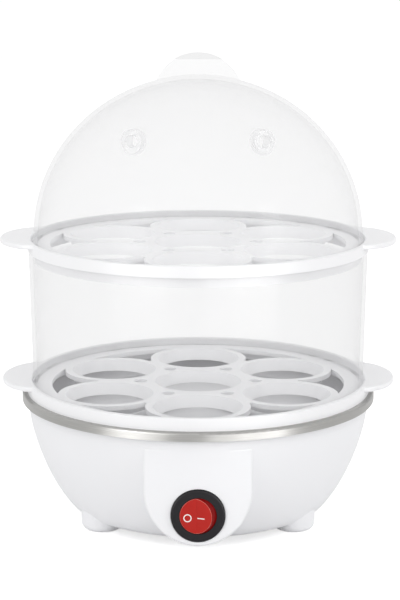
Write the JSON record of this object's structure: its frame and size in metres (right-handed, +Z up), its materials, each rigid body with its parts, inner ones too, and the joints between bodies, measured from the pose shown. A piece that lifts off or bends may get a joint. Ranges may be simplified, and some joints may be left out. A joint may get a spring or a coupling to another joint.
{
  "type": "egg boiler",
  "caption": "Two-tier electric egg boiler: round switched base with a steel heating plate, stacked egg trays, a clear middle ring and a vented clear dome.",
  "frame": {"origin": "on the table, on the vertical axis of the round body", "axes": "+Z up, front with the rocker switch towards -Y, tray grips along X"},
  "size_m": [0.178, 0.16, 0.2088],
  "materials": {
    "white_housing": "glossy white moulded polypropylene",
    "white_tray": "satin white moulded polypropylene, slightly translucent",
    "clear_plastic": "milky translucent moulded plastic",
    "stainless_plate": "brushed round the rim",
    "screw_steel": "plated",
    "zinc_steel": "zinc plated sheet",
    "silicone": "matt silicone",
    "cast_aluminium": "cast",
    "element_sheath": "dull sheath",
    "phenolic": "moulded phenolic",
    "fuse_sleeve": "woven glass sleeve",
    "black_plastic": "black moulded nylon",
    "red_rocker": "translucent red",
    "brass_contacts": "stamped",
    "lamp_glass": "neon lamp glass",
    "gland_rubber": "soft moulded",
    "nylon": "natural nylon",
    "wire_brown": "insulation",
    "wire_blue": "insulation"
  },
  "bodies": {
    "base": {"base_housing": "white_housing", "bottom_cover": "white_housing", "cover_screws": "screw_steel", "heating_plate": "stainless_plate", "plate_gasket": "silicone", "heater_disc": "cast_aluminium", "heating_element": "element_sheath", "clamp_stud": "screw_steel", "clamp_strap": "zinc_steel", "clamp_nut": "screw_steel", "thermostat": "phenolic", "thermostat_flange": "zinc_steel", "thermostat_screws": "screw_steel", "thermal_fuse": "fuse_sleeve", "fuse_clip": "zinc_steel", "fuse_clip_screw": "screw_steel", "switch_body": "black_plastic", "switch_terminals": "brass_contacts", "switch_lamp": "lamp_glass", "cord_gland": "gland_rubber", "terminal_block": "nylon", "terminal_barrels": "brass_contacts", "terminal_screws": "screw_steel", "block_screw": "screw_steel", "spade_connectors": "brass_contacts", "live_wire": "wire_brown", "switched_wire": "wire_brown", "thermostat_wire": "wire_brown", "neutral_wire": "wire_blue", "fuse_wire": "wire_blue"},
    "rocker": {"switch_rocker": "red_rocker"},
    "lower_tray": {"lower_tray": "white_tray"},
    "middle_ring": {"middle_ring": "clear_plastic"},
    "upper_tray": {"upper_tray": "white_tray"},
    "dome_lid": {"dome_lid": "clear_plastic"}
  },
  "joints": [
    {"name": "rocker_tilt", "type": "hinge", "parent": "base", "child": "rocker", "pos_m": [0, -0.0727, 0.0207], "axis": [0, 0, 1], "range_deg": [0, 18.8]},
    {"name": "lower_tray_lift", "type": "slide", "parent": "base", "child": "lower_tray", "axis": [0, 0, 1], "range_m": [0, 0.04]},
    {"name": "middle_ring_lift", "type": "slide", "parent": "lower_tray", "child": "middle_ring", "axis": [0, 0, 1], "range_m": [0, 0.07]},
    {"name": "upper_tray_lift", "type": "slide", "parent": "middle_ring", "child": "upper_tray", "axis": [0, 0, 1], "range_m": [0, 0.04]},
    {"name": "dome_lift", "type": "slide", "parent": "upper_tray", "child": "dome_lid", "axis": [0, 0, 1], "range_m": [0, 0.09]}
  ]
}
